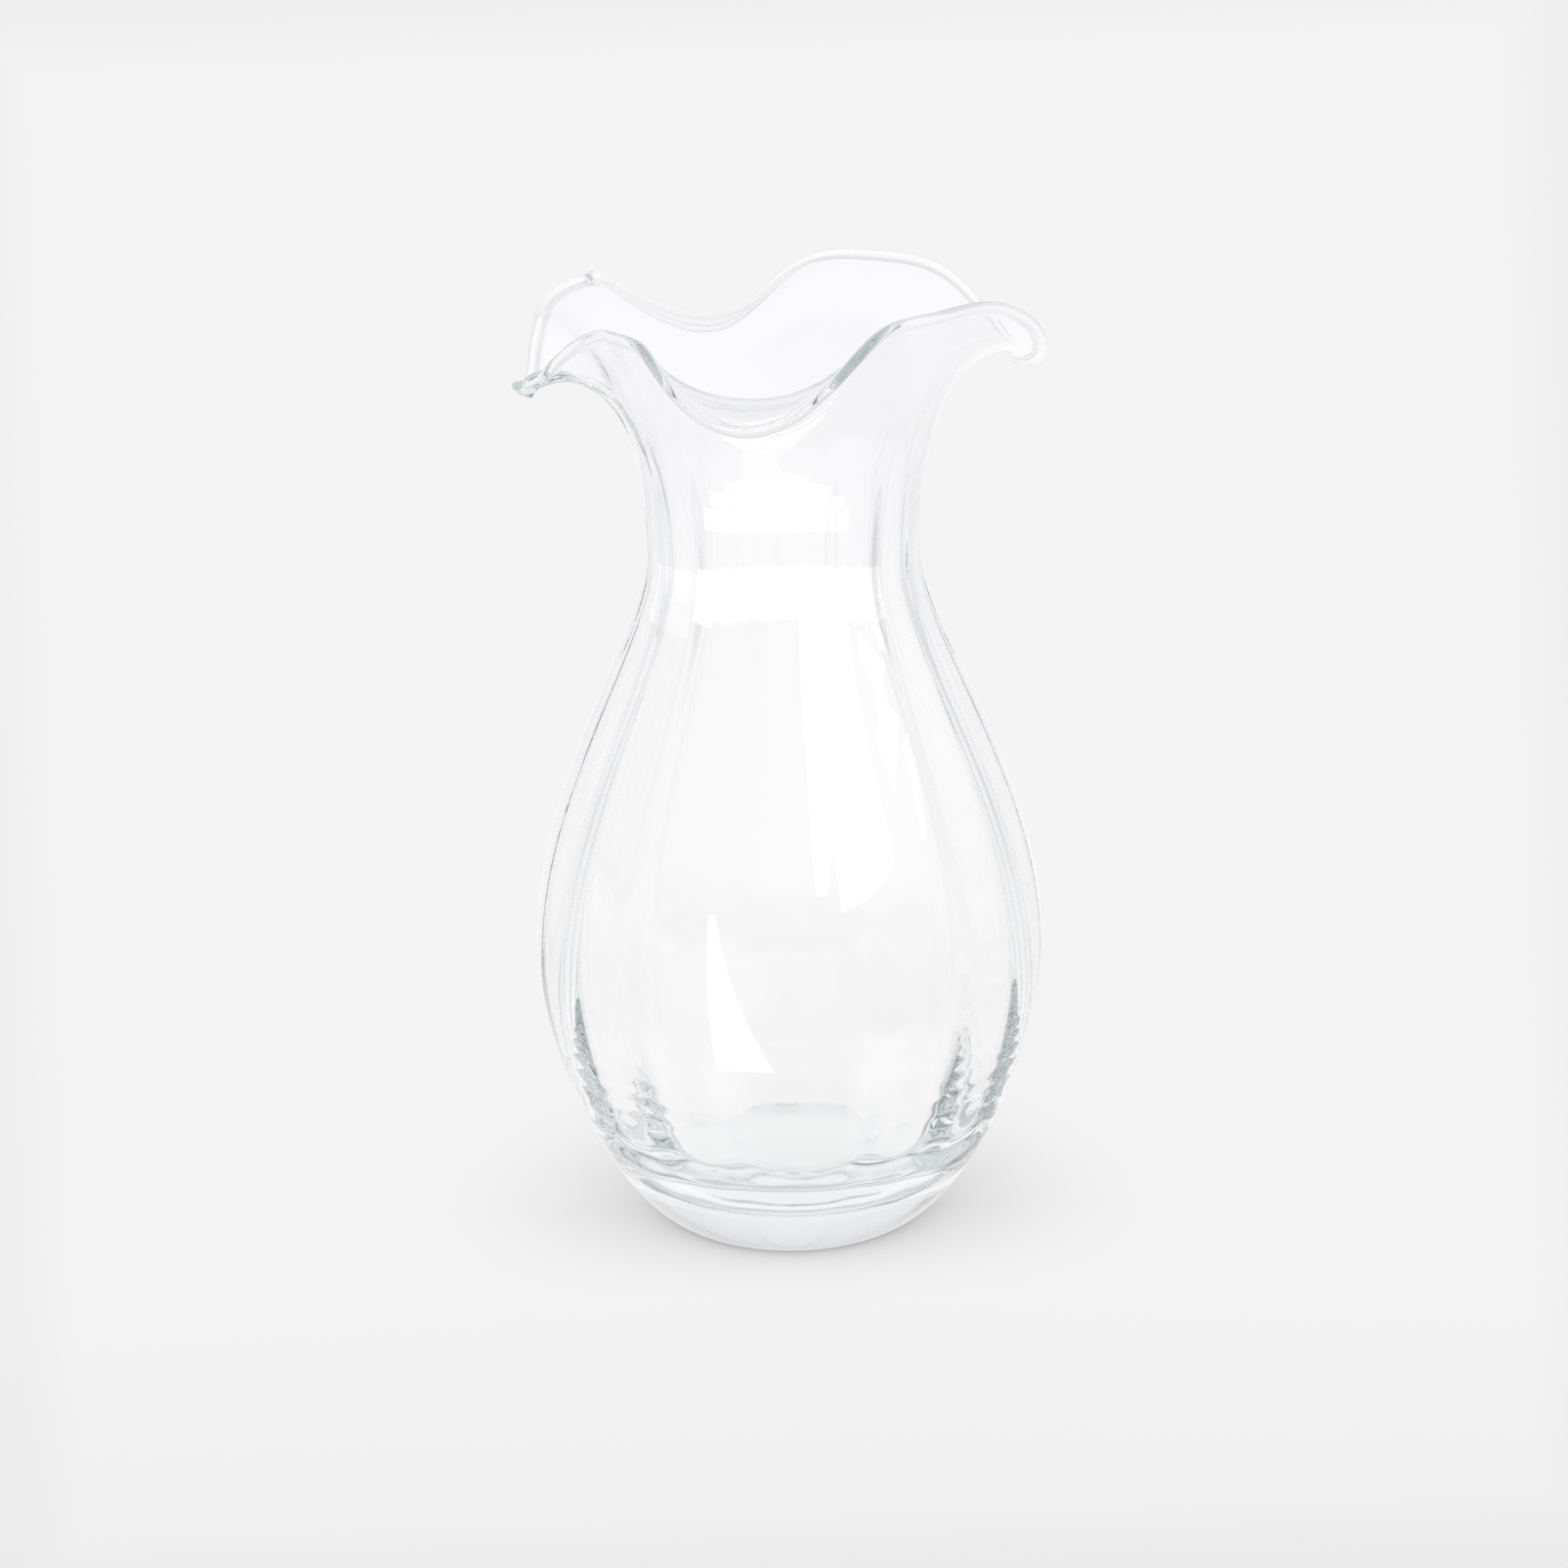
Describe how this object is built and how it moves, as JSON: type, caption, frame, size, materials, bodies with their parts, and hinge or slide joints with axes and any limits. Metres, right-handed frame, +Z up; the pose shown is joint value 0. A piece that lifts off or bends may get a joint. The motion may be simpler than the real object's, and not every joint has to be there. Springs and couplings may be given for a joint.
{
  "type": "flower vase",
  "caption": "Clear blown glass flower vase: heavy rounded base, soft vertical flutes, narrow neck and flared, ruffled lip. Stands on a ground flat and holds water and stems.",
  "frame": {"origin": "middle of the ground flat that the vase stands on", "axes": "+Z up the vase's axis to the mouth, -Y towards the front of the picture, +X to its right"},
  "size_m": [0.1555, 0.1645, 0.2924],
  "materials": {
    "glass": "clear, smooth and glossy, with a faint green tint where it is thick"
  },
  "bodies": {
    "root": {"glass_vase": "glass"}
  },
  "joints": []
}
